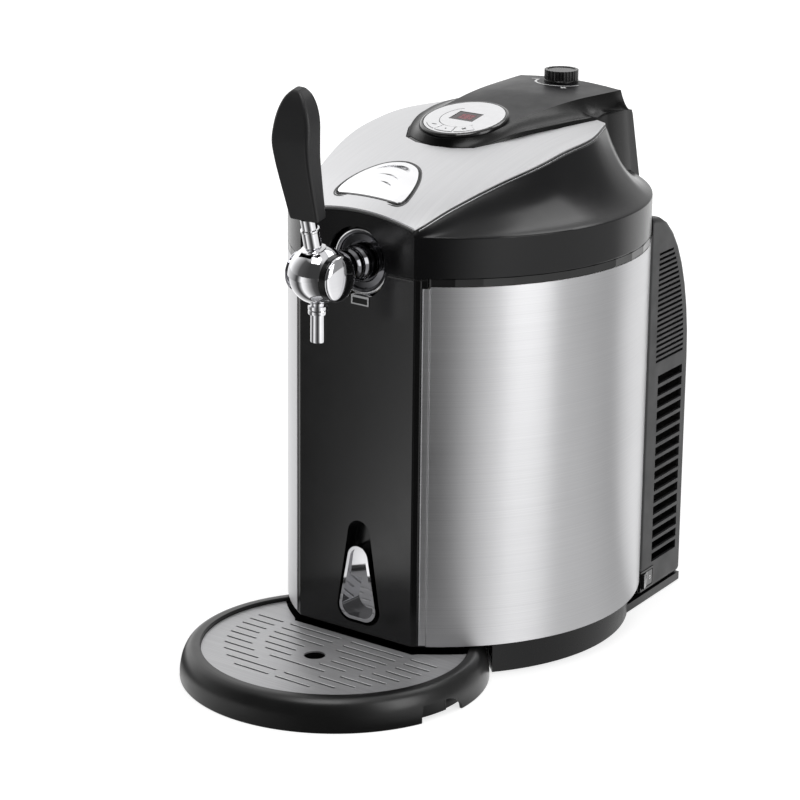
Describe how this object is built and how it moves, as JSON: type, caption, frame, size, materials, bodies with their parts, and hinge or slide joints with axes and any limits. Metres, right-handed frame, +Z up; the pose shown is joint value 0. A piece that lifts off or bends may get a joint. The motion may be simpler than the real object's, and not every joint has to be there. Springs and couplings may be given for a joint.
{
  "type": "drink dispenser",
  "caption": "Cooled mini keg dispenser with hinged lid, lever tap, round drip tray and grille, regulator knob, temperature keys and rear fan housing.",
  "frame": {"origin": "middle of the footprint, at the surface that the feet and tray stand on", "axes": "+X is the viewer's right when facing the machine's front, -Y is the front with the tap, +Z is up"},
  "size_m": [0.28, 0.4734, 0.476],
  "materials": {
    "black_plastic": "fine moulded texture",
    "gloss_black": "polished",
    "dark_grey_plastic": "satin moulded",
    "brushed_steel": "brushed upright grain",
    "silver_paint": "silver paint, satin",
    "chrome": "polished plate",
    "aluminium": "plain mill finish",
    "rubber": "matte",
    "foam": "rigid foam",
    "white_ceramic": "ceramic faces",
    "brass": "turned",
    "red_lens": "dark red window",
    "circuit_board": "lacquered board"
  },
  "bodies": {
    "cabinet": {"base_plinth": "black_plastic", "foot_front_left": "rubber", "foot_front_right": "rubber", "foot_rear_left": "rubber", "foot_rear_right": "rubber", "base_plate": "black_plastic", "front_panel": "black_plastic", "bottle_opener": "chrome", "side_panel_left": "brushed_steel", "side_panel_right": "brushed_steel", "top_collar": "black_plastic", "chamber_liner": "aluminium", "insulation_jacket": "foam", "cold_block": "aluminium", "peltier_module": "white_ceramic", "heat_sink": "aluminium", "fan_frame": "black_plastic", "rear_housing": "dark_grey_plastic", "switch_frame": "black_plastic", "power_inlet": "black_plastic", "power_supply": "dark_grey_plastic", "housing_screw_left": "chrome", "housing_screw_right": "chrome", "tap_back_plate": "black_plastic", "tap_flange": "chrome", "tap_shank": "chrome", "tap_body": "chrome", "tap_cap_left": "chrome", "tap_cap_right": "chrome", "tap_spout": "chrome", "hinge_pin": "chrome"},
    "lid": {"lid_shell": "black_plastic", "lid_cover": "silver_paint", "lid_console": "black_plastic", "display_ring": "gloss_black", "display_plate": "silver_paint", "display_window": "red_lens", "control_board": "circuit_board", "latch_pin": "chrome", "lid_liner": "dark_grey_plastic", "lid_seal": "rubber", "gas_fitting": "brass", "gas_cartridge": "brushed_steel", "cartridge_holder": "dark_grey_plastic", "gas_regulator": "brass", "gas_line": "black_plastic"},
    "button": {"release_button": "silver_paint"},
    "latch": {"latch_yoke": "dark_grey_plastic"},
    "minus_key": {"key_minus": "silver_paint"},
    "mode_key": {"key_mode": "silver_paint"},
    "plus_key": {"key_plus": "silver_paint"},
    "knob": {"regulator_knob": "black_plastic"},
    "tap": {"tap_lever": "chrome", "tap_handle": "black_plastic"},
    "rocker": {"power_rocker": "gloss_black"},
    "fan": {"fan_rotor": "dark_grey_plastic"},
    "tray": {"drip_tray": "black_plastic"},
    "grille": {"drip_grille": "brushed_steel"}
  },
  "joints": [
    {"name": "lid_hinge", "type": "hinge", "parent": "cabinet", "child": "lid", "pos_m": [0, 0.21165, 0.331], "axis": [-1, 0, 0], "range_deg": [0, 75]},
    {"name": "button_press", "type": "slide", "parent": "lid", "child": "button", "axis": [0, 0, -1], "range_m": [0, 0.003], "stiffness_N_per_m": 800, "springref_m": -0.001},
    {"name": "latch_release", "type": "hinge", "parent": "lid", "child": "latch", "pos_m": [0, -0.05935, 0.352], "axis": [-1, 0, 0], "range_deg": [0, 4.98]},
    {"name": "minus_key_press", "type": "slide", "parent": "lid", "child": "minus_key", "axis": [0, 0.2028, -0.9792], "range_m": [0, 0.0012], "stiffness_N_per_m": 500, "springref_m": -0.001},
    {"name": "mode_key_press", "type": "slide", "parent": "lid", "child": "mode_key", "axis": [0, 0.2028, -0.9792], "range_m": [0, 0.0012], "stiffness_N_per_m": 500, "springref_m": -0.001},
    {"name": "plus_key_press", "type": "slide", "parent": "lid", "child": "plus_key", "axis": [0, 0.2028, -0.9792], "range_m": [0, 0.0012], "stiffness_N_per_m": 500, "springref_m": -0.001},
    {"name": "regulator_turn", "type": "hinge", "parent": "lid", "child": "knob", "pos_m": [0, 0.18215, 0.43], "axis": [0, 0, 1], "range_deg": [-135, 135]},
    {"name": "tap_lever_swing", "type": "hinge", "parent": "cabinet", "child": "tap", "pos_m": [0, -0.13595, 0.3292], "axis": [1, 0, 0], "range_deg": [-15, 15]},
    {"name": "power_rocker_tip", "type": "hinge", "parent": "cabinet", "child": "rocker", "pos_m": [0.10357, 0.17184, 0.0205], "axis": [0, 0, -1], "range_deg": [0, 14]},
    {"name": "fan_spin", "type": "hinge", "parent": "cabinet", "child": "fan", "pos_m": [0, 0.19865, 0.145], "axis": [0, 1, 0], "continuous": true},
    {"name": "tray_slide", "type": "slide", "parent": "cabinet", "child": "tray", "axis": [0, -1, 0], "range_m": [0, 0.26]},
    {"name": "grille_lift", "type": "slide", "parent": "tray", "child": "grille", "axis": [0, 0, 1], "range_m": [0, 0.08]}
  ],
  "couplings": [
    {"joint": "latch_release", "follows": "button_press", "rad_per_m": 29}
  ]
}
